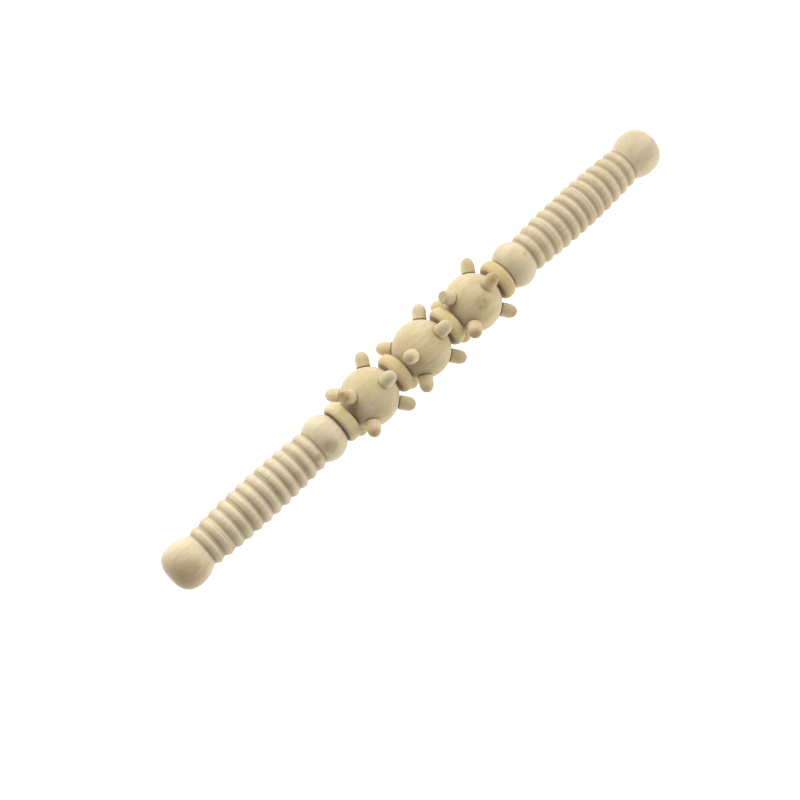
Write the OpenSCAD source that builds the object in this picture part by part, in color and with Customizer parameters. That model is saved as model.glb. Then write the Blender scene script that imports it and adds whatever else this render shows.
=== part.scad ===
// Wooden foot massage roller: three pegged balls and four rings turn freely on an axle
// that is glued into two ribbed handles. The stick lies along X, on the tips of its
// lowest pegs, and the origin is under the stick's middle on the surface it lies on.

/* [Stick] */
// Length over both end knobs
stick_len = 330; // [310:1:360]
// Diameter of the axle that carries the balls and rings
axle_d = 8; // [7:0.1:8.6]
// Depth of the axle's glued end in each handle
axle_seat = 24; // [12:1:40]
// Radial play of a ball or ring on the axle
running_play = 0.1; // [0.05:0.01:0.1]
// Least gap between neighbours along the axle
side_gap = 0.1; // [0.1:0.05:0.3]
// Extra gap at each side of the outermost left ring, as the stack has slid to the right
slide_gap = 0.4; // [0:0.05:0.6]

/* [Balls] */
// Diameter of a ball
ball_d = 29.6; // [28.8:0.1:31]
// Width of a ball between its two drilled end flats
ball_width = 28; // [27.6:0.1:28.2]

/* [Rings] */
// Outside diameter of a spacer ring
ring_d = 21.4; // [19:0.1:22]
// Thickness of a spacer ring along the axle
ring_width = 7.4; // [7:0.1:8]
// Radius of a ring's rounded edges
ring_edge_r = 3; // [1.5:0.1:3.2]

/* [Pegs] */
// Diameter of a massage peg
peg_d = 7.1; // [6.4:0.1:7.4]
// Distance from a ball's centre to the tip of its pegs
peg_reach = 23; // [21:0.1:23.4]
// Length of a peg's rounded tip
peg_tip_len = 4.6; // [3.6:0.1:6]
// Diameter of the tenon below a peg's shoulder
tenon_d = 5; // [4:0.1:5.6]
// Distance from a ball's centre to the bottom of its peg holes
peg_seat = 9; // [8.8:0.1:11]
// Radial gap that the glue fills round a tenon or an axle end
glue_gap = 0.05; // [0.02:0.01:0.1]
// Gap between a peg's shoulder and the mouth of its hole
shoulder_gap = 0.05; // [0.02:0.01:0.2]

/* [Handles] */
// Diameter of the bead beside the outermost ring
bead_d = 24.2; // [22:0.1:26]
// Length of the bead
bead_len = 15.2; // [14:0.1:16]
// Number of grip ribs on each handle
rib_count = 12; // [8:1:14]
// Diameter of the grip over its middle ribs
grip_mid_d = 23.8; // [22:0.1:26]
// Diameter of the grip over its end ribs
grip_end_d = 20.6; // [19:0.1:22]
// Depth of the grooves between the ribs
groove_depth = 1.3; // [0.6:0.05:1.6]
// Diameter of the end knob
knob_d = 24.4; // [22:0.1:26]
// Length of the end knob
knob_len = 20.2; // [18:0.1:22]
// Diameter of the flat that ends the knob
knob_flat_d = 8; // [6:0.5:10]

/* [Hidden] */
$fn = 64;
wood = [0.86, 0.78, 0.62];
wood_warm = [0.83, 0.72, 0.54];
wood_grey = [0.80, 0.74, 0.60];

// Play and pitch along the axle. The loose stack lies against the right handle.
bore_r = axle_d / 2 + running_play;
ball_pitch = ball_width + ring_width + 2 * side_gap;
stack_half = 1.5 * ball_pitch + ring_width / 2 + side_gap + slide_gap;
handle_len = stick_len / 2 - stack_half;
edge_chamfer = 0.5;

// Where each ball and ring sits along the axle
ball_names = ["left", "middle", "right"];
ball_places = [for (pitch = [-1, 0, 1]) slide_gap + pitch * ball_pitch];
ring_names = ["outer_left", "inner_left", "inner_right", "outer_right"];
ring_places = concat([-1.5 * ball_pitch],
    [for (pitch = [-0.5, 0.5, 1.5]) slide_gap + pitch * ball_pitch]);

// How each peg stands, [lean, turn] in degrees. Lean is towards +X from the ball's
// middle plane, turn is round the axle from straight up, positive towards -Y.
// The holes are drilled by hand, so no two balls are quite alike.
peg_aims = [
    [[32, -76], [30, 15], [37, 98], [35, 196], [-38, -14], [-36, 75], [-34, 163], [-34, -110]],
    [[40, -75], [38, 15], [37, 104], [35, 196], [-36, 13], [-37, 88], [-35, 163], [-39, -104]],
    [[36, -75], [31, 9], [36, 104], [34, 198], [-38, -31], [-39, 64], [-33, 161], [-35, -124]]
];
pegs_each = len(peg_aims[0]);

// A peg tip is half an egg. The lowest tip of all stands on the surface, and a tip's
// lowest point lies below the axle by its middle's drop and by the egg's reach.
peg_r = peg_d / 2;
tip_middle = peg_reach - peg_tip_len;
tip_steps = 10;
function tip_drop(aim) = let (upright = cos(aim[0]) * cos(aim[1]))
    sqrt(pow(peg_tip_len * upright, 2) + pow(peg_r, 2) * (1 - pow(upright, 2)))
    - tip_middle * upright;
axle_z = max([for (aims = peg_aims) for (aim = aims) tip_drop(aim)]);

// A flat shoulder sits on the mouth of the hole, so its edge stands off the round ball
tenon_r = tenon_d / 2;
hole_r = tenon_r + glue_gap;
shoulder = sqrt(pow(ball_d / 2, 2) - pow(hole_r, 2)) + shoulder_gap;
peg_outline = concat(
    [[0, peg_seat], [tenon_r, peg_seat], [tenon_r, shoulder], [peg_r, shoulder]],
    [for (i = [0:tip_steps]) let (a = 90 * i / tip_steps)
        [peg_r * cos(a), tip_middle + peg_tip_len * sin(a)]]);

// Handle outline, with u measured from the handle's inner face
knob_start = handle_len - knob_len;
grip_len = knob_start - bead_len;
rib_pitch = grip_len / rib_count;
bead_middle = bead_len * 0.525;
bead_half = bead_len * 0.7;
knob_rise = knob_len * 0.46;
knob_power = 2.6;
rib_steps = 8;
curve_steps = 8;

function bead_r(u) = bead_d / 2 * sqrt(1 - pow((u - bead_middle) / bead_half, 2));
function grip_r(u) = grip_mid_d / 2
    - (grip_mid_d - grip_end_d) / 2 * pow((u - bead_len - grip_len / 2) / (grip_len / 2), 2);
// A rib lies halfway between an arc and a smooth wave. place is -1 and 1 at its grooves.
function ribbed_r(u, place) = grip_r(u)
    - groove_depth * (pow(place, 2) + pow(sin(90 * place), 2)) / 2;

neck_r = ribbed_r(knob_start, 1);
function knob_rise_r(t) = neck_r + (knob_d / 2 - neck_r) * sin(90 * t);

// The knob's end is a rounded square curve that stops at the end flat
cap_start = knob_start + knob_rise;
cap_len = handle_len - cap_start;
flat_angle = asin(pow(knob_flat_d / knob_d, knob_power / 2));
cap_reach = cap_len / pow(cos(flat_angle), 2 / knob_power);
function cap_point(a) = [
    knob_d / 2 * pow(sin(a), 2 / knob_power),
    cap_start + cap_reach * pow(cos(a), 2 / knob_power)
];

bead_points = [for (i = [0:curve_steps * 2 - 1])
    let (u = bead_len * i / (curve_steps * 2)) [bead_r(u), u]];
rib_points = [for (rib = [0:rib_count - 1]) for (i = [0:rib_steps - 1])
    let (place = 2 * i / rib_steps - 1, u = bead_len + rib_pitch * (rib + (place + 1) / 2))
    [ribbed_r(u, place), u]];
rise_points = [for (i = [0:curve_steps - 1])
    let (t = i / curve_steps) [knob_rise_r(t), knob_start + knob_rise * t]];
cap_points = [for (i = [0:curve_steps * 2])
    cap_point(90 + (flat_angle - 90) * i / (curve_steps * 2))];
handle_outline = concat([[0, 0]], bead_points, rib_points, rise_points, cap_points,
    [[0, handle_len]]);

// Half outline of a ring, from the axle outwards
function ring_corner(side) = [for (i = [0:curve_steps])
    let (a = side < 0 ? -90 + 90 * i / curve_steps : 90 * i / curve_steps)
    [ring_d / 2 - ring_edge_r + ring_edge_r * cos(a),
     side * (ring_width / 2 - ring_edge_r) + ring_edge_r * sin(a)]];
ring_outline = concat([[0, -ring_width / 2]], ring_corner(-1), ring_corner(1),
    [[0, ring_width / 2]]);

// Puts what is built along Z onto the axle's line, x from the middle of the stick
module on_axle(x = 0) {
    translate([x, 0, axle_z]) rotate([0, 90, 0]) children();
}

// Turns a peg built along Z to its lean and turn, on the ball at x
module aimed(x, aim) {
    translate([x, 0, axle_z]) rotate([aim[1], 0, 0]) rotate([0, aim[0], 0]) children();
}

// A bore through a turned piece, with a small chamfer at each mouth
module through_bore(width) {
    cylinder(h = width + 2, r = bore_r, center = true);
    for (end = [0, 1]) mirror([0, 0, end])
        translate([0, 0, width / 2 - edge_chamfer])
            cylinder(h = edge_chamfer * 2, r1 = bore_r, r2 = bore_r + edge_chamfer * 2);
}

// The dowel that everything sits on
module axle() {
    reach = stack_half + axle_seat;
    color(wood_warm) on_axle() union() {
        cylinder(h = 2 * (reach - 1), d = axle_d, center = true);
        for (end = [0, 1]) mirror([0, 0, end])
            translate([0, 0, reach - 1]) cylinder(h = 1, d1 = axle_d, d2 = axle_d - 2);
    }
}

// A ribbed handle with its bead, its knob and the blind hole that holds the axle
module handle_body() {
    difference() {
        rotate_extrude() polygon(handle_outline);
        translate([0, 0, -1])
            cylinder(h = axle_seat + 2, r = axle_d / 2 + glue_gap);
    }
}

module handle_right() {
    color(wood) on_axle(stack_half) handle_body();
}

module handle_left() {
    color(wood) mirror([1, 0, 0]) on_axle(stack_half) handle_body();
}

// A loose spacer ring
module ring(index) {
    color(wood_warm) on_axle(ring_places[index]) difference() {
        rotate_extrude() polygon(ring_outline);
        through_bore(ring_width);
    }
}

// A ball with its bore and the blind holes for its pegs
module ball(index) {
    x = ball_places[index];
    color(wood) difference() {
        on_axle(x) difference() {
            intersection() {
                sphere(d = ball_d);
                cylinder(h = ball_width, d = ball_d + 2, center = true);
            }
            through_bore(ball_width);
        }
        for (aim = peg_aims[index]) aimed(x, aim) peg_hole();
    }
}

// A blind hole for a peg's tenon, from its bottom out through the ball's skin
module peg_hole() {
    translate([0, 0, peg_seat]) cylinder(h = ball_d / 2, r = hole_r);
}

// A round-ended massage peg with its shoulder, and its tenon glued into the ball
module peg(index, k) {
    color(wood_grey) aimed(ball_places[index], peg_aims[index][k - 1])
        rotate_extrude() polygon(peg_outline);
}

axle();
handle_left();
handle_right();
for (i = [0:3])
    ring(i);
for (i = [0:2])
    ball(i);
for (i = [0:2]) for (k = [1:pegs_each])
    peg(i, k);
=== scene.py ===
import math

import bpy
import numpy as np
from mathutils import Matrix, Vector


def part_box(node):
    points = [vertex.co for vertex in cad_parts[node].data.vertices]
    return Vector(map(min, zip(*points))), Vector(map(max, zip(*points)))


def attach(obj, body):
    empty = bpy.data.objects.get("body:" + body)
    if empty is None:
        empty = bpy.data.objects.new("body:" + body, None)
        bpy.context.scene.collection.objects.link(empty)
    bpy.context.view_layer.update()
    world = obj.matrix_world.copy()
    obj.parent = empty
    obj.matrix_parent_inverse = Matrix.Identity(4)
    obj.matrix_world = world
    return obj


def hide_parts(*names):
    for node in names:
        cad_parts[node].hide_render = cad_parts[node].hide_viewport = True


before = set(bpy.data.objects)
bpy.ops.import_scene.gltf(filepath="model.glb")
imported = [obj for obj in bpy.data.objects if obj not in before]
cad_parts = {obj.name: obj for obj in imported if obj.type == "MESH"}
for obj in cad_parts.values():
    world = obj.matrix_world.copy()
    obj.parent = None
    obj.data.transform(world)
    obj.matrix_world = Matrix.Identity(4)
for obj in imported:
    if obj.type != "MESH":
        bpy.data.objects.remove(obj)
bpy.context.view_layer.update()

# ---------------------------------------------------------------- places from the frame
# Shapes are worked out in millimetres and scaled to metres when a mesh is made.
MM = 0.001
BALLS = ("left", "middle", "right")
RINGS = ("outer_left", "inner_left", "inner_right", "outer_right")
SIDES = {"left": -1, "right": 1}
PEGS_EACH = 8


def node_size(node):
    """The three sides of a CAD node's box."""
    lo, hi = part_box(node)
    return np.array(hi - lo) / MM


def node_middle(node):
    """The middle of a CAD node's box."""
    lo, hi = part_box(node)
    return np.array(hi + lo) / 2 / MM


AXLE = node_middle("axle")
AXLE_R = node_size("axle")[2] / 2
# Gap round the axle in its glued seats, and in the bores that turn on it
GLUE_GAP = 0.05
PLAY = 0.1


# ---------------------------------------------------------------- node trees
class Nodes:
    """Short calls for building the node tree of a material or a world."""

    def __init__(self, owner):
        self.tree = owner.node_tree

    def put(self, socket, value):
        """Links a socket to another one, or sets its value."""
        if isinstance(value, bpy.types.NodeSocket):
            self.tree.links.new(value, socket)
        else:
            socket.default_value = value

    def add(self, kind, **inputs):
        made = self.tree.nodes.new("ShaderNode" + kind)
        for name, value in inputs.items():
            self.put(made.inputs[name.replace("_", " ")], value)
        return made

    def attribute(self, name, output="Fac"):
        made = self.tree.nodes.new("ShaderNodeAttribute")
        made.attribute_name = name
        return made.outputs[output]

    def math(self, operation, a, b=0.0, c=None):
        made = self.tree.nodes.new("ShaderNodeMath")
        made.operation = operation
        for socket, value in zip(made.inputs, (a, b, c)):
            if value is not None:
                self.put(socket, value)
        return made.outputs[0]

    def times(self, a, b):
        return self.math("MULTIPLY", a, b)

    def plus(self, total, a, b):
        """total + a * b"""
        return self.math("MULTIPLY_ADD", a, b, total)

    def vector(self, operation, output, *inputs):
        made = self.tree.nodes.new("ShaderNodeVectorMath")
        made.operation = operation
        for socket, value in zip(made.inputs, inputs):
            self.put(socket, value)
        return made.outputs[output]

    def scaled(self, vector, scale):
        return self.vector("MULTIPLY", "Vector", vector, scale)

    def dot(self, a, b):
        return self.vector("DOT_PRODUCT", "Value", a, b)

    def noise(self, vector, along, across, detail=2.0, rough=0.5):
        """Noise with its scale along the fibres and its scale across them."""
        made = self.add("TexNoise", Vector=self.scaled(vector, (along, across, across)),
                        Scale=1.0, Detail=detail, Roughness=rough)
        return made.outputs["Fac"]

    def line_noise(self, value, detail=2.0):
        """Noise that varies along one number only."""
        made = self.tree.nodes.new("ShaderNodeTexNoise")
        made.noise_dimensions = "1D"
        self.put(made.inputs["W"], value)
        made.inputs["Scale"].default_value = 1.0
        made.inputs["Detail"].default_value = detail
        return made.outputs["Fac"]

    def spread(self, value, low, high):
        """Maps low..high to 0..1, smoothly and within those ends."""
        made = self.add("MapRange", Value=value, From_Min=low, From_Max=high)
        made.interpolation_type = "SMOOTHSTEP"
        return made.outputs["Result"]

    def mix(self, factor, a, b):
        made = self.tree.nodes.new("ShaderNodeMix")
        made.data_type = "RGBA"
        self.put(made.inputs["Factor"], factor)
        self.put(made.inputs["A"], a)
        self.put(made.inputs["B"], b)
        return made.outputs["Result"]


# ---------------------------------------------------------------- camera and light
# Angles are in degrees, the lens in millimetres, and the rest in metres. The camera looks
# at a place a little off the middle of the axle.
CAMERA_AZIMUTH = -44.6
CAMERA_ELEVATION = 68.7
CAMERA_DISTANCE = 0.938
CAMERA_LENS = 86.2
AIM_RIGHT = -0.0102
AIM_UP = -0.0245


def camera_axes():
    """The camera's right, up and backward directions."""
    a, e = math.radians(CAMERA_AZIMUTH), math.radians(CAMERA_ELEVATION)
    back = Vector((math.sin(a) * math.cos(e), -math.cos(a) * math.cos(e), math.sin(e)))
    right = Vector((math.cos(a), math.sin(a), 0))
    return right, back.cross(right), back


def direction(shares):
    """A direction made of shares of the camera's right, up and backward."""
    right, up, back = camera_axes()
    return (right * shares[0] + up * shares[1] + back * shares[2]).normalized()


def make_camera():
    right, up, back = camera_axes()
    data = bpy.data.cameras.new("camera")
    data.lens = CAMERA_LENS
    camera = bpy.data.objects.new("camera", data)
    bpy.context.scene.collection.objects.link(camera)
    camera.matrix_world = Matrix((right, up, back)).transposed().to_4x4()
    aim = Vector(AXLE) * MM + right * AIM_RIGHT + up * AIM_UP
    camera.location = aim + back * CAMERA_DISTANCE
    bpy.context.scene.camera = camera


# The room is a light tent, dim round the mouth that the camera looks in by and bright
# round its sides. The mouth's strength holds within MOUTH_STARTS and the sides' beyond
# SIDE_ENDS, both as cosines of the angle from the camera. It is brightest towards
# TENT_BRIGHT, by its even share plus or minus its bias.
TENT_SIDE = 1.14
TENT_MOUTH = 0.2
SIDE_ENDS = 0.3
MOUTH_STARTS = 0.85
TENT_EVEN = 0.72
TENT_BIAS = 0.68
TENT_BRIGHT = (0.8, 1.0, 0.3)


def make_tent():
    world = bpy.data.worlds.new("light_tent")
    bpy.context.scene.world = world
    world.use_nodes = True
    n = Nodes(world)
    place = n.tree.nodes.new("ShaderNodeTexCoord").outputs["Generated"]
    back = camera_axes()[2]
    fade = n.spread(n.dot(place, back), SIDE_ENDS, MOUTH_STARTS)
    fade = n.plus(TENT_SIDE, fade, TENT_MOUTH - TENT_SIDE)
    bias = n.plus(TENT_EVEN, n.dot(place, direction(TENT_BRIGHT)), TENT_BIAS)
    background = n.tree.nodes["Background"]
    n.put(background.inputs["Strength"], n.times(fade, bias))
    background.inputs["Color"].default_value = (1, 1, 1, 1)


# Soft boxes: the place along the stick that each one faces, its direction from there, its
# distance and side in metres, and its power in watts. The key light comes from the
# picture's upper left, and the fill from its lower right.
SOFT_BOXES = {
    "key": {"along": 0.06, "shares": (-0.65, 0.75, 0.6), "away": 1.1, "side": 0.7, "power": 8.2},
    "fill": {"along": 0.14, "shares": (0.7, -0.45, 0.6), "away": 0.25, "side": 0.2, "power": 0.12},
}


def soft_box(name, along, shares, away, side, power):
    """A square soft box that faces a place on the stick."""
    data = bpy.data.lights.new(name, "AREA")
    data.size = side
    data.energy = power
    light = bpy.data.objects.new(name, data)
    bpy.context.scene.collection.objects.link(light)
    toward = direction(shares)
    light.location = Vector(AXLE) * MM + Vector((along, 0, 0)) + toward * away
    light.rotation_euler = toward.to_track_quat("Z", "Y").to_euler()


def make_light():
    bpy.context.scene.view_settings.view_transform = "Standard"
    make_tent()
    for name, values in SOFT_BOXES.items():
        soft_box(name, **values)


FLOOR_HALF = 1.5
FLOOR_GLOW = 1.08
FLOOR_COLOUR = (0.25, 0.25, 0.25, 1)
FLOOR_ROUGHNESS = 0.9


def make_floor():
    """A plain white sheet, lit from under as in a light tent, so it shows hardly any shade."""
    h = FLOOR_HALF
    mesh = bpy.data.meshes.new("floor")
    mesh.from_pydata([(-h, -h, 0), (h, -h, 0), (h, h, 0), (-h, h, 0)], [], [(0, 1, 2, 3)])
    floor = bpy.data.objects.new("floor", mesh)
    bpy.context.scene.collection.objects.link(floor)
    material = bpy.data.materials.new("floor_white")
    material.use_nodes = True
    shader = material.node_tree.nodes["Principled BSDF"]
    shader.inputs["Base Color"].default_value = FLOOR_COLOUR
    shader.inputs["Roughness"].default_value = FLOOR_ROUGHNESS
    shader.inputs["Emission Color"].default_value = (1, 1, 1, 1)
    shader.inputs["Emission Strength"].default_value = FLOOR_GLOW
    mesh.materials.append(material)


# ---------------------------------------------------------------- wood
# Colours from pale to deep, the warm one of browner pieces, and those of single features
PALE = (0.765, 0.67, 0.45)
DEEP = (0.63, 0.51, 0.315)
WARM = (0.61, 0.465, 0.26)
ROSY = (0.77, 0.655, 0.46, 1)
END_GRAIN = (0.50, 0.40, 0.25, 1)
# The halo and heart of a mark, which on the left knob is partly painted shade
MARK_AND_SHADE_HALO = (0.46, 0.31, 0.13, 1)
MARK_AND_SHADE_HEART = (0.20, 0.11, 0.04, 1)
# Pores, and the painted shade in crevices and narrow gaps, have the deep colour times this
DARKEN = (0.45, 0.40, 0.32)
# The balls, pegs and rings are a yellower wood than the handles and the axle
TINTS = {"axle_wood": (1.0, 1.0, 1.0), "handle_wood": (1.0, 1.0, 1.0),
         "ring_wood": (1.0, 0.98, 0.79), "ball_wood": (0.92, 0.895, 0.76),
         "peg_wood": (0.98, 0.96, 0.85)}

# Noise of each feature, with its waves a millimetre along and across the fibres
FIBRES = {"along": 0.10, "across": 2.2, "detail": 3.0, "rough": 0.6}
STREAKS = {"along": 0.025, "across": 0.45}
PATCHES = {"along": 0.05, "across": 0.10}
PORES = {"along": 0.7, "across": 7.0, "detail": 1.0}
ROSY_PARTS = {"along": 0.06, "across": 0.16, "detail": 1.0}
RAGGED_EDGES = {"along": 0.25, "across": 0.6, "detail": 3.0, "rough": 0.6}
RING_BENDS = {"along": 0.012, "across": 0.07}
# The low and the high end of a noise, between which its feature fades in
FIBRE_ENDS = (0.35, 0.7)
STREAK_ENDS = (0.35, 0.65)
PATCH_ENDS = (0.4, 0.65)
PORE_ENDS = (0.66, 0.76)
ROSY_ENDS = (0.35, 0.65)
HALO_ENDS = (0.0, 0.55)
HEART_ENDS = (0.5, 1.2)
# How far the bends push the growth rings, in millimetres, and the rings' waves, in
# radians a millimetre
BEND_SIZE = 9.0
RING_WAVES = 1.9

# How much each feature takes the tone from pale to deep
RING_SHARE = 0.12
FIBRE_SHARE = 0.34
STREAK_SHARE = 0.32
PATCH_SHARE = 0.42
# How much each feature covers of the colour below it
END_GRAIN_COVER = 0.5
PORE_COVER = 0.35
PAINTED_SHADE_COVER = 0.58
HALO_COVER = 0.6
HEART_COVER = 0.7
# A mark is multiplied by the first of these plus its ragged noise times the second
RAGGED = (0.35, 1.3)

# The surface: its least roughness and what the fibres add, and its gloss and cool sheen
ROUGHNESS = (0.5, 0.22)
SURFACE = {"Specular IOR Level": 0.4, "Sheen Weight": 0.4, "Sheen Roughness": 0.35,
           "Sheen Tint": (0.82, 0.9, 1.0, 1)}
# Turning marks go round a piece, fibres stand up a little and pores are pits
TURNING_WAVES = 2.6
TURNING_HEIGHT = 0.5
FIBRE_HEIGHT = 0.6
PORE_HEIGHT = -0.5
BUMP_STRENGTH = 0.35
BUMP_DEPTH = 0.00012


def growth_rings(n, grain):
    """Faint late-wood bands round a pith that lies a few centimetres away."""
    away = n.vector("LENGTH", "Value", n.scaled(grain, (0, 1, 1)))
    bent = n.plus(away, n.noise(grain, **RING_BENDS), BEND_SIZE)
    return n.spread(n.math("SINE", n.times(bent, RING_WAVES)), 0.0, 1.0)


def wood_tone(n, grain, fibre):
    """How deep the bare wood's tone is."""
    tone = n.times(growth_rings(n, grain), RING_SHARE)
    tone = n.plus(tone, n.spread(fibre, *FIBRE_ENDS), FIBRE_SHARE)
    tone = n.plus(tone, n.spread(n.noise(grain, **STREAKS), *STREAK_ENDS), STREAK_SHARE)
    return n.plus(tone, n.spread(n.noise(grain, **PATCHES), *PATCH_ENDS), PATCH_SHARE)


def wood_colour(n, grain, fibre, pore, tint):
    """The colour of a tinted wood, from its tone up to the marks that lie on it."""
    pale, deep, warm = [tuple(c * t for c, t in zip(base, tint)) for base in (PALE, DEEP, WARM)]
    dark = (*[c * d for c, d in zip(deep, DARKEN)], 1)
    rosy = n.spread(n.noise(grain, **ROSY_PARTS), *ROSY_ENDS)
    colour = n.mix(rosy, (*pale, 1), ROSY)
    colour = n.mix(wood_tone(n, grain, fibre), colour, (*deep, 1))
    colour = n.mix(n.attribute("warmth"), colour, (*warm, 1))
    colour = n.mix(n.times(n.attribute("end_grain"), END_GRAIN_COVER), colour, END_GRAIN)
    colour = n.mix(n.times(pore, PORE_COVER), colour, dark)
    # Painted shade in grooves, narrow gaps and round the feet of pegs
    colour = n.mix(n.times(n.attribute("painted_shade"), PAINTED_SHADE_COVER), colour, dark)
    # Marks: knots, stains and scratches, and partly painted shade on the left knob
    ragged = n.plus(RAGGED[0], n.noise(grain, **RAGGED_EDGES), RAGGED[1])
    mark = n.times(n.attribute("mark"), ragged)
    colour = n.mix(n.times(n.spread(mark, *HALO_ENDS), HALO_COVER), colour, MARK_AND_SHADE_HALO)
    return n.mix(n.times(n.spread(mark, *HEART_ENDS), HEART_COVER), colour, MARK_AND_SHADE_HEART)


def wood(name, tint):
    """Sanded wood with no varnish. The mesh carries its grain, marks, painted shade in creases and
    gaps, and warmth.
    """
    material = bpy.data.materials.new(name)
    material.use_nodes = True
    n = Nodes(material)
    shader = material.node_tree.nodes["Principled BSDF"]
    grain = n.attribute("grain", "Vector")
    fibre = n.noise(grain, **FIBRES)
    pore = n.spread(n.noise(grain, **PORES), *PORE_ENDS)
    n.put(shader.inputs["Base Color"], wood_colour(n, grain, fibre, pore, tint))
    n.put(shader.inputs["Roughness"], n.plus(ROUGHNESS[0], fibre, ROUGHNESS[1]))
    for socket, value in SURFACE.items():
        shader.inputs[socket].default_value = value

    turning = n.line_noise(n.times(n.attribute("turned"), TURNING_WAVES))
    height = n.times(turning, TURNING_HEIGHT)
    height = n.plus(height, fibre, FIBRE_HEIGHT)
    height = n.plus(height, pore, PORE_HEIGHT)
    bump = n.add("Bump", Strength=BUMP_STRENGTH, Distance=BUMP_DEPTH, Height=height)
    n.put(shader.inputs["Normal"], bump.outputs["Normal"])
    return material


# ---------------------------------------------------------------- turned pieces
# How a piece is out of round: a few waves, each with up to MOST_LOBES - 1 lobes round it
# and a twist in radians a millimetre
WAVES = 5
MOST_LOBES = 5
TWIST = 0.09
# No error within this radius, and the whole of it this much further out
TRUE_R = 5.0
ERROR_RISE = 2
# Where a piece is cut from its plank: along the fibres, out from the pith and beside it
PLANK = ((-400, 400), (25, 60), (-8, 8))
# The slope of an outline at which its end grain starts to show
END_GRAIN_STARTS = 0.35
# How steeply a mark rises from its edge. At 1 it would be full at its very middle only.
MARK_SPREAD = 1.3
# Radius of the small cap that closes an outline at the axis
CAP_R = 0.4
# Ends that face a narrow gap get painted shade this strong, over this depth from the end
END_SHADE = 1.6
END_REACH = 0.6


def smooth(t):
    """An S-shaped rise from 0 to 1."""
    t = np.clip(t, 0, 1)
    return t * t * (3 - 2 * t)


def out_of_round(rng):
    """A gentle error of about -1 to 1, by place along a piece and angle round it."""
    waves = [(rng.integers(1, MOST_LOBES), rng.uniform(-TWIST, TWIST),
              rng.uniform(0, 2 * math.pi)) for _ in range(WAVES)]

    def error(along, angle):
        return sum(np.sin(k * angle + w * along + p) for k, w, p in waves) / WAVES
    return error


def even_steps(outline, step):
    """Walks an outline of (along, radius) points in steps no longer than step."""
    out = [outline[0]]
    for a, b in zip(outline[:-1], outline[1:]):
        count = max(1, math.ceil(math.dist(a, b) / step))
        for i in range(1, count + 1):
            t = i / count
            out.append((a[0] + (b[0] - a[0]) * t, a[1] + (b[1] - a[1]) * t))
    return np.array(out)


def arc(centre, radius, start, stop, count=12):
    """Points (along, radius) of an arc, with angles in degrees from straight along."""
    angles = [math.radians(start + (stop - start) * i / count) for i in range(count + 1)]
    return [(centre[0] + radius * math.cos(a), centre[1] + radius * math.sin(a))
            for a in angles]


def pierced(half, bore, chamfer, outside):
    """A closed outline: the outside given, between two chamfered mouths of a bore."""
    return ([(-half + chamfer, bore), (-half, bore + chamfer)] + outside
            + [(half, bore + chamfer), (half - chamfer, bore), (-half + chamfer, bore)])


class Turned:
    """A piece turned on a lathe: an outline of (along, radius) points spun about X.

    A closed outline makes a pierced piece, and an open one is capped at both ends.
    Angle 0 is straight up, and 90 degrees is towards -Y, as the pegs' turns are counted.
    """

    def __init__(self, outline, around, step, closed):
        points = even_steps(outline, step)
        if closed:
            points = points[:-1]
        self.closed, self.around, self.rows = closed, around, len(points)
        self.mirrored = False
        ahead = np.diff(points, axis=0, prepend=points[:1])
        self.turned = self.each(np.cumsum(np.hypot(*ahead.T)))
        self.along = self.each(points[:, 0])
        self.radius = self.each(points[:, 1])
        self.angle = np.tile(np.arange(around) * 2 * math.pi / around, self.rows)
        slope = np.gradient(points, axis=0)
        self.end_grain = self.each(np.abs(slope[:, 1]) / np.maximum(np.hypot(*slope.T), 1e-9))
        # Painted shade, which each kind of piece sets
        self.painted_shade = np.zeros(len(self.along))

    def each(self, values):
        """Repeats one value a row for every point round the piece."""
        return np.repeat(values, self.around)

    def roughen(self, rng, size, true_r=TRUE_R):
        """Makes the outside a little out of round, and leaves what is within true_r as it is."""
        error = out_of_round(rng)(self.along, self.angle)
        rise = smooth((self.radius - true_r) / ERROR_RISE)
        self.radius = self.radius + size * (error - 1) * rise

    def points(self):
        return np.stack([self.along, -self.radius * np.sin(self.angle),
                         self.radius * np.cos(self.angle)], 1)

    def faces(self):
        cols, rows = self.around, self.rows
        here = np.arange(rows * cols).reshape(rows, cols)
        if self.closed:
            here = np.vstack([here, here[:1]])
        beside = np.roll(here, -1, axis=1)
        quads = np.stack([here[:-1], here[1:], beside[1:], beside[:-1]], -1).reshape(-1, 4)
        caps = [] if self.closed else [here[0].tolist(), here[-1][::-1].tolist()]
        faces = quads.tolist() + caps
        return [face[::-1] for face in faces] if self.mirrored else faces


def end_painted_shade(piece, half):
    """Painted shade on the flat ends of a ring or a ball, where they face a narrow gap."""
    return END_SHADE * smooth((np.abs(piece.along) - half + END_REACH) / END_REACH)


def grain_of(points, rng, fibre=(1, 0, 0)):
    """Wood coordinates of a piece from its own plank, with x along the fibres."""
    f = Vector(fibre).normalized()
    side = Matrix.Rotation(rng.uniform(0, 2 * math.pi), 3, f) @ f.orthogonal().normalized()
    local = points @ np.array([f, side, f.cross(side)]).T
    return local + np.array([rng.uniform(low, high) for low, high in PLANK])


def marks_on(points, spots):
    """How strongly each point lies in a mark: knots, stains and scratches, and partly painted
    shade on the left knob. A spot is (place, reach, strength).
    """
    out = np.zeros(len(points))
    for spot, reach, strength in spots:
        away = np.linalg.norm(points - np.array(spot), axis=1)
        out = np.maximum(out, strength * smooth(MARK_SPREAD * (1 - away / reach)))
    return out


def on_turn(along, radius, turn):
    """A place on a piece, with its turn in degrees from straight up towards -Y."""
    t = math.radians(turn)
    return along, -radius * math.sin(t), radius * math.cos(t)


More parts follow.
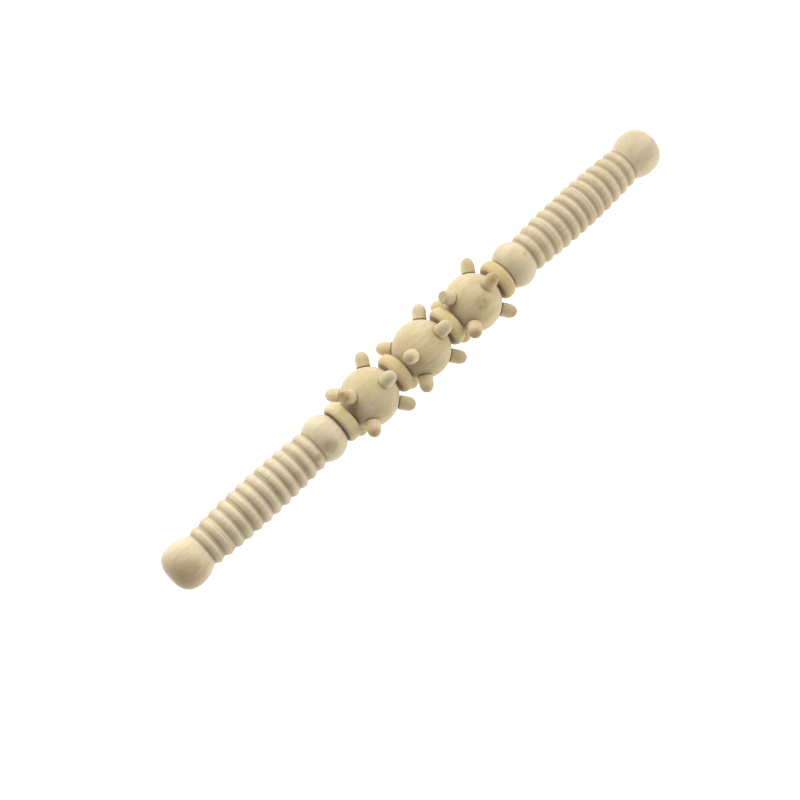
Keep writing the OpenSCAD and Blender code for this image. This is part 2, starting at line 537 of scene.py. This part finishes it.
def make_mesh(name, points, faces, attributes):
    """A smooth mesh in metres that carries its wood attributes on its points."""
    mesh = bpy.data.meshes.new(name)
    mesh.from_pydata((points * MM).tolist(), [], faces)
    mesh.polygons.foreach_set("use_smooth", [True] * len(mesh.polygons))
    for key, values in attributes.items():
        kind, field = ("FLOAT_VECTOR", "vector") if values.ndim == 2 else ("FLOAT", "value")
        made = mesh.attributes.new(key, kind, "POINT")
        made.data.foreach_set(field, values.astype(np.float32).ravel())
    mesh.update()
    piece = bpy.data.objects.new(name, mesh)
    bpy.context.scene.collection.objects.link(piece)
    return piece


def finish_piece(node, body, slot, turned, points, grain, warmth, mark=None):
    """Makes a turned piece's mesh and sets it in the place of its CAD node."""
    count = len(points)
    end = smooth((turned.end_grain - END_GRAIN_STARTS) / (1 - END_GRAIN_STARTS))
    piece = make_mesh(node + "_wood", points, turned.faces(), {
        "grain": grain, "turned": turned.turned, "painted_shade": turned.painted_shade,
        "end_grain": end * np.maximum(turned.end_grain, 1),
        "warmth": np.full(count, warmth), "mark": np.zeros(count) if mark is None else mark})
    piece.data.materials.append(WOODS[slot])
    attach(piece, body)
    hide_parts(node)


# ---------------------------------------------------------------- handles
# Lengths and radii as in the CAD
BEAD_LEN = 15.2
BEAD_R = 12.1
RIBS = 12
GRIP_MID_R = 11.9
GRIP_END_R = 10.3
GROOVE = 1.3
KNOB_LEN = 20.2
KNOB_R = 12.2
KNOB_FLAT_R = 4.0
KNOB_POWER = 2.6
BEAD_MIDDLE_SHARE = 0.525
BEAD_HALF_SHARE = 0.7
KNOB_RISE_SHARE = 0.46
AXLE_SEAT = 24.0
HOLE_CAP_R = 0.6
# Spread of the grooves' places and depths and of the ribs' skew, and each rib's two
# scored lines, with their width as a share of half a rib
EDGE_SPREAD = 0.14
CUT_SPREAD = 0.10
SKEW_SPREAD = 0.05
SCORES_EACH = 2
SCORE_PLACES = 0.8
SCORE_DEPTH = 0.17
SCORE_VARIES = (0.5, 1.5)
SCORE_WIDTH = 0.08
# Steps along the outline of the bead, of a rib, and of the knob's rise and cap
BEAD_STEPS = 40
RIB_STEPS = 22
RISE_STEPS = 24
CAP_STEPS = 40
HANDLE_AROUND = 144
HANDLE_STEP = 0.40
HANDLE_ERROR = 0.07
# Depth from the inner face over which painted shade marks the gap to the next ring
FACE_REACH = 0.9
# The painted shade in a groove sets in this share of the way down it, within this
# share of the grip's half length
GROOVE_SHADE_STARTS = 0.2
GROOVES_END = 1.02


def bead_points():
    middle, half = BEAD_LEN * BEAD_MIDDLE_SHARE, BEAD_LEN * BEAD_HALF_SHARE
    places = [BEAD_LEN * i / BEAD_STEPS for i in range(BEAD_STEPS)]
    return [(u, BEAD_R * math.sqrt(1 - ((u - middle) / half) ** 2)) for u in places]


def grip_crest(u, grip):
    """The radius over the ribs, largest in the middle of the grip."""
    off = (u - BEAD_LEN - grip / 2) / (grip / 2)
    return GRIP_MID_R - (GRIP_MID_R - GRIP_END_R) * off ** 2


def rib_points(grip, rng):
    """Ribs halfway between arcs and smooth waves, as in the CAD, but all cut by eye."""
    edges = BEAD_LEN + grip / RIBS * np.arange(RIBS + 1)
    edges[1:-1] += rng.normal(0, EDGE_SPREAD, RIBS - 1)
    cuts = GROOVE + rng.normal(0, CUT_SPREAD, RIBS + 1)
    skew = rng.normal(0, SKEW_SPREAD, RIBS)
    scores = rng.uniform(-SCORE_PLACES, SCORE_PLACES, (RIBS, SCORES_EACH))
    depths = SCORE_DEPTH * rng.uniform(*SCORE_VARIES, (RIBS, SCORES_EACH))
    out = []
    for rib in range(RIBS):
        for i in range(RIB_STEPS):
            place = 2 * i / RIB_STEPS - 1
            u = edges[rib] + (edges[rib + 1] - edges[rib]) * (place + 1) / 2
            cut = cuts[rib] if place < 0 else cuts[rib + 1]
            lift = skew[rib] * place * (1 - place ** 2)
            wave = (place ** 2 + math.sin(math.pi / 2 * place) ** 2) / 2
            scratch = np.sum(depths[rib] * np.exp(-((place - scores[rib]) / SCORE_WIDTH) ** 2))
            out.append((u, grip_crest(u, grip) - cut * wave + lift - scratch))
    return out


def knob_points(length, neck):
    """The knob swells from the last groove, then closes in a rounded square curve."""
    start, rise = length - KNOB_LEN, KNOB_LEN * KNOB_RISE_SHARE
    out = []
    for i in range(RISE_STEPS):
        t = i / RISE_STEPS
        out.append((start + rise * t, neck + (KNOB_R - neck) * math.sin(math.pi / 2 * t)))
    flat = math.asin((KNOB_FLAT_R / KNOB_R) ** (KNOB_POWER / 2))
    cap = (KNOB_LEN - rise) / math.cos(flat) ** (2 / KNOB_POWER)
    for i in range(CAP_STEPS + 1):
        a = math.pi / 2 + (flat - math.pi / 2) * i / CAP_STEPS
        out.append((start + rise + cap * math.cos(a) ** (2 / KNOB_POWER),
                    KNOB_R * math.sin(a) ** (2 / KNOB_POWER)))
    return out


def handle_painted_shade(piece, grip):
    """Painted shade, by how deep each point lies in a groove or how near the inner face."""
    off = (piece.along - BEAD_LEN - grip / 2) / (grip / 2)
    ribbed = (np.abs(off) < GROOVES_END) & (piece.radius > TRUE_R)
    depth = (grip_crest(piece.along, grip) - piece.radius) / GROOVE
    shade = smooth((depth - GROOVE_SHADE_STARTS) / (1 - GROOVE_SHADE_STARTS))
    groove = np.where(ribbed, shade, 0.0)
    face = END_SHADE * smooth(1 - piece.along / FACE_REACH)
    return np.maximum(groove, face)


def make_handle(side, warmth, seed, spots):
    """A handle with its axle hole, built from its inner face out. The left one is mirrored."""
    rng = np.random.default_rng(seed)
    node = "handle_" + side
    length = node_size(node)[0]
    grip = length - KNOB_LEN - BEAD_LEN
    hole = AXLE_R + GLUE_GAP
    ribs = rib_points(grip, rng)
    outline = [(AXLE_SEAT, HOLE_CAP_R), (AXLE_SEAT, hole), (0.0, hole)]
    outline += bead_points() + ribs + knob_points(length, GRIP_END_R - GROOVE)
    outline += [(length, CAP_R)]
    piece = Turned(outline, HANDLE_AROUND, HANDLE_STEP, False)
    piece.painted_shade = handle_painted_shade(piece, grip)
    piece.roughen(rng, HANDLE_ERROR)
    points = piece.points()
    mark = marks_on(points, spots)
    grain = grain_of(points, rng)
    lo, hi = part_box(node)
    sign = SIDES[side]
    piece.mirrored = sign < 0
    points[:, 0] = (lo.x if sign > 0 else hi.x) / MM + sign * points[:, 0]
    points[:, 2] += AXLE[2]
    finish_piece(node, "root", "handle_wood", piece, points, grain, warmth, mark)


# ---------------------------------------------------------------- rings
RING_CHAMFER = 0.4
RING_AROUND = 112
RING_STEP = 0.4
RING_ERROR = 0.10


def make_ring(name, warmth, seed, edge):
    """A loose spacer ring. edge is the radius of its rounded outer corners."""
    rng = np.random.default_rng(seed)
    node = "ring_" + name
    size = node_size(node)
    half, outer = size[0] / 2, size[2] / 2
    outside = arc((-half + edge, outer - edge), edge, 180, 90)
    outside += arc((half - edge, outer - edge), edge, 90, 0)
    outline = pierced(half, AXLE_R + PLAY, RING_CHAMFER, outside)
    piece = Turned(outline, RING_AROUND, RING_STEP, True)
    piece.painted_shade = end_painted_shade(piece, half)
    piece.roughen(rng, RING_ERROR)
    points = piece.points()
    grain = grain_of(points, rng)
    finish_piece(node, node, "ring_wood", piece, points + node_middle(node), grain, warmth)


# ---------------------------------------------------------------- balls and pegs
BALL_R = 14.8
BALL_CHAMFER = 0.5
BALL_STEPS = 90
BALL_AROUND = 232
BALL_STEP = 0.40
BALL_ERROR = 0.06
# A peg's hole, with a little more clearance than in the CAD. It is cut from points this
# near to the ball's surface.
HOLE_R = 2.62
HOLE_CLEAR = 0.15
HOLE_TAPER = 0.03
HOLE_SKIN = 1.0
# A peg, from its tenon's end to its tip, which is fuller than half an ellipse. The tip's
# outline stops TIP_ENDS degrees round it, at a tiny flat.
PEG_R = 3.55
PEG_SEAT = 9.0
PEG_TIP_LEN = 4.6
TIP_POWER = 2 / 2.15
TIP_STEPS = 16
TIP_ENDS = 86
TENON_R = 2.45
PEG_CAP_R = 0.3
PEG_CHAMFER = 0.15
PEG_AROUND = 48
PEG_STEP = 0.42
PEG_ERROR = 0.05
PEG_TRUE_R = TENON_R + 0.4
# How much a peg may fall short, its tip's length may vary, and its shoulder may stand off
SHORT_BY = (0, 0.25)
TIP_LEN_BY = (-0.5, 0.5)
SHOULDER_GAP = (0.05, 0.22)
# Painted shade at the foot of a peg and on the ball below it, and the length of a stained tip
FOOT_SHADE = 0.8
FOOT_REACH = 0.7
FOOT_MARGIN = 0.2
STAIN_LEN = 5.0
# How dark and how rough the bared wood of a broken tip is
CHIP_DARK = 0.9
CHIP_ROUGH = 0.05
# A peg's direction is read between the middles of end slices this thick
END_SLICE = 1.0


def ball_middle(name):
    """A ball's middle, on the axle's line."""
    return np.array([node_middle("ball_" + name)[0], AXLE[1], AXLE[2]])


def peg_line(ball, k):
    """A peg's direction from its ball's middle and how far its tip reaches."""
    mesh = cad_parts[f"peg_{ball}_{k}"].data
    points = np.array([v.co for v in mesh.vertices]) / MM - ball_middle(ball)
    guess = points.mean(0) / np.linalg.norm(points.mean(0))
    out = points @ guess
    base = points[out < out.min() + END_SLICE].mean(0)
    tip = points[out > out.max() - END_SLICE].mean(0)
    lean = (tip - base) / np.linalg.norm(tip - base)
    return lean, (points @ lean).max()


def sink_hole(points, painted_shade, lean):
    """Cuts a peg hole: points near its rim move onto it, and those within go down. The ball under
    the peg's foot gets painted shade.
    """
    out = points @ lean
    off = points - out[:, None] * lean
    away = np.maximum(np.linalg.norm(off, axis=1), 1e-6)
    near = (out > PEG_SEAT) & (np.linalg.norm(points, axis=1) > BALL_R - HOLE_SKIN)
    wall_r, floor_r = HOLE_R - BALL_STEP / 2, HOLE_R - BALL_STEP * 1.5
    rim = near & (np.abs(away - HOLE_R) < BALL_STEP / 2)
    wall = near & (away < wall_r) & (away > floor_r)
    floor = near & (away <= floor_r)
    points[rim] = (out[:, None] * lean + off * (HOLE_R / away)[:, None])[rim]
    bottom = (PEG_SEAT - HOLE_CLEAR) * lean
    points[wall] = bottom + (off * ((HOLE_R - HOLE_TAPER) / away)[:, None])[wall]
    points[floor] = bottom + off[floor]
    # Painted shade on the ball under the peg's foot
    painted_shade[near & (away < PEG_R - FOOT_MARGIN)] = 1.0


def make_ball(name, warmth, seed, spots):
    """A ball with its bore and its eight peg holes. spots are its knots."""
    rng = np.random.default_rng(seed)
    node = "ball_" + name
    half = node_size(node)[0] / 2
    stop = math.degrees(math.acos(half / BALL_R))
    outside = arc((0, 0), BALL_R, 180 - stop, stop, BALL_STEPS)
    outline = pierced(half, AXLE_R + PLAY, BALL_CHAMFER, outside)
    piece = Turned(outline, BALL_AROUND, BALL_STEP, True)
    piece.painted_shade = end_painted_shade(piece, half)
    piece.roughen(rng, BALL_ERROR)
    points = piece.points()
    grain = grain_of(points, rng)
    mark = marks_on(points, spots)
    for k in range(1, PEGS_EACH + 1):
        sink_hole(points, piece.painted_shade, peg_line(name, k)[0])
    finish_piece(node, node, "ball_wood", piece, points + ball_middle(name), grain, warmth, mark)


def bullet():
    """A unit quarter outline, from its full radius to its tip, a little fuller than an ellipse."""
    angles = [math.radians(90 - TIP_ENDS * i / TIP_STEPS) for i in range(TIP_STEPS + 1)]
    return [(math.cos(a) ** TIP_POWER, math.sin(a) ** TIP_POWER) for a in angles]


def chip_tip(rng, points, end_grain, facing, depth):
    """Breaks a tip off, a depth below its highest point, and bares its rough end grain."""
    facing = facing / np.linalg.norm(facing)
    out = points @ facing
    rough = rng.normal(0, CHIP_ROUGH, len(out))
    over = out - (out.max() - depth) + rough
    cut = over > 2 * CHIP_ROUGH
    points[cut] -= over[cut][:, None] * facing
    end_grain[cut] = CHIP_DARK


def make_peg(ball, k, warmth, seed, stain=0.0, chips=()):
    """stain darkens the tip. A chip is how its face leans from the peg's, and its depth."""
    rng = np.random.default_rng(seed)
    node = f"peg_{ball}_{k}"
    lean, reach = peg_line(ball, k)
    reach -= rng.uniform(*SHORT_BY)
    tip = PEG_TIP_LEN + rng.uniform(*TIP_LEN_BY)
    seat = math.sqrt(BALL_R ** 2 - HOLE_R ** 2) + rng.uniform(*SHOULDER_GAP)
    outline = [(PEG_SEAT, PEG_CAP_R), (PEG_SEAT, TENON_R), (seat, TENON_R),
               (seat, PEG_R - PEG_CHAMFER), (seat + PEG_CHAMFER, PEG_R)]
    outline += [(reach - tip + tip * u, PEG_R * v) for u, v in bullet()]
    piece = Turned(outline, PEG_AROUND, PEG_STEP, False)
    # Painted shade at the peg's foot, by its hole
    piece.painted_shade = smooth((seat + FOOT_REACH - piece.along) / FOOT_REACH) * FOOT_SHADE
    piece.roughen(rng, PEG_ERROR, PEG_TRUE_R)
    turned_to = np.array(Vector(lean).to_track_quat("X", "Z").to_matrix())
    points = piece.points() @ turned_to.T
    grain = grain_of(points, rng, lean)
    mark = stain * smooth((piece.along - reach + STAIN_LEN) / STAIN_LEN)
    for offset, depth in chips:
        chip_tip(rng, points, piece.end_grain, lean + np.array(offset), depth)
    finish_piece(node, "ball_" + ball, "peg_wood", piece, points + ball_middle(ball), grain,
                 warmth, mark)


# ---------------------------------------------------------------- axle
AXLE_CHAMFER = 1
AXLE_AROUND = 64
AXLE_STEP = 1.0
AXLE_WARMTH = 0.3


def make_axle(seed):
    """The dowel that carries the balls and rings, with a chamfer at each end."""
    rng = np.random.default_rng(seed)
    half = node_size("axle")[0] / 2
    outline = [(-half, CAP_R), (-half, AXLE_R - AXLE_CHAMFER), (-half + AXLE_CHAMFER, AXLE_R),
               (half - AXLE_CHAMFER, AXLE_R), (half, AXLE_R - AXLE_CHAMFER), (half, CAP_R)]
    piece = Turned(outline, AXLE_AROUND, AXLE_STEP, False)
    points = piece.points()
    grain = grain_of(points, rng)
    finish_piece("axle", "root", "axle_wood", piece, points + AXLE, grain, AXLE_WARMTH)


# ---------------------------------------------------------------- the whole object
# Each piece has a seed of its own, counted up from its kind's
AXLE_SEED = 5
HANDLE_SEED = 11
RING_SEED = 21
BALL_SEED = 31
PEG_SEED = 42

# Warmth goes from the wood's own colour at 0 to the warm one at 1
HANDLE_WARMTH = {"left": 0.0, "right": 0.2}
RING_WARMTH = (0.0, 0.6, 0.45, 0.75)
BALL_WARMTH = (0.1, 0.25, 0.2)
# Each peg is its own offcut, so some are warmer and browner than others
PEG_WARMTH = {"left": (0.0, 0.0, 0.1, 0.4, 0.2, 0.2, 0.1, 0.1),
              "middle": (0.1, 0.1, 0.3, 0.4, 0.15, 0.2, 0.7, 0.1),
              "right": (0.2, 0.7, 0.3, 0.4, 0.1, 0.3, 0.9, 0.2)}
# The outermost left ring has sharper corners than the others
RING_EDGES = (2.4, 3.1, 3.1, 3.0)

# Knots and other marks: a place, how far it reaches and how strong it is. The last two
# spots on the left handle darken the lower side of its knob, partly a darker patch in its
# wood and partly painted shade.
HANDLE_SPOTS = {
    "left": [(on_turn(10.2, 12.0, 43), 6.0, 0.42), (on_turn(11.8, 12.0, 33), 2.2, 0.6),
             (on_turn(17.8, 11.3, 46), 3.4, 0.8), (on_turn(103.0, 10.5, 48), 18.0, 0.45),
             (on_turn(107.0, 8.0, 52), 8.0, 0.6)],
    "right": [(on_turn(105.0, 9.5, 20), 2.4, 0.6), (on_turn(12.0, 11.4, 14), 1.6, 0.6)]}
BALL_SPOTS = {
    "right": [(on_turn(-1.1, 14.7, 30), 6.0, 0.42), (on_turn(0.3, 14.7, 30), 1.5, 0.95),
              (on_turn(-2.8, 14.5, 34), 1.2, 0.85)]}
# Some tips are stained by use, and two are broken
PEG_STAINS = {("left", 3): 0.45, ("left", 5): 0.7, ("left", 6): 0.5, ("middle", 3): 0.38,
              ("middle", 5): 0.15, ("middle", 6): 0.1, ("right", 1): 0.35, ("right", 2): 0.75,
              ("right", 3): 0.75, ("right", 5): 0.15, ("right", 6): 0.65}
PEG_CHIPS = {("left", 5): [((-0.25, 0.05, 0.0), 1.1), ((0.1, -0.6, 0.0), 0.35)],
             ("right", 5): [((-0.15, 0.0, 0.12), 1.6)]}

make_camera()
make_light()
make_floor()
WOODS = {slot: wood(slot, tint) for slot, tint in TINTS.items()}

make_axle(AXLE_SEED)
for i, side in enumerate(SIDES):
    make_handle(side, HANDLE_WARMTH[side], HANDLE_SEED + i, HANDLE_SPOTS[side])
for i, name in enumerate(RINGS):
    make_ring(name, RING_WARMTH[i], RING_SEED + i, RING_EDGES[i])
for i, name in enumerate(BALLS):
    make_ball(name, BALL_WARMTH[i], BALL_SEED + i, BALL_SPOTS.get(name, ()))
    for k in range(1, PEGS_EACH + 1):
        make_peg(name, k, PEG_WARMTH[name][k - 1], PEG_SEED + 10 * i + k - 1,
                 PEG_STAINS.get((name, k), 0.0), PEG_CHIPS.get((name, k), ()))
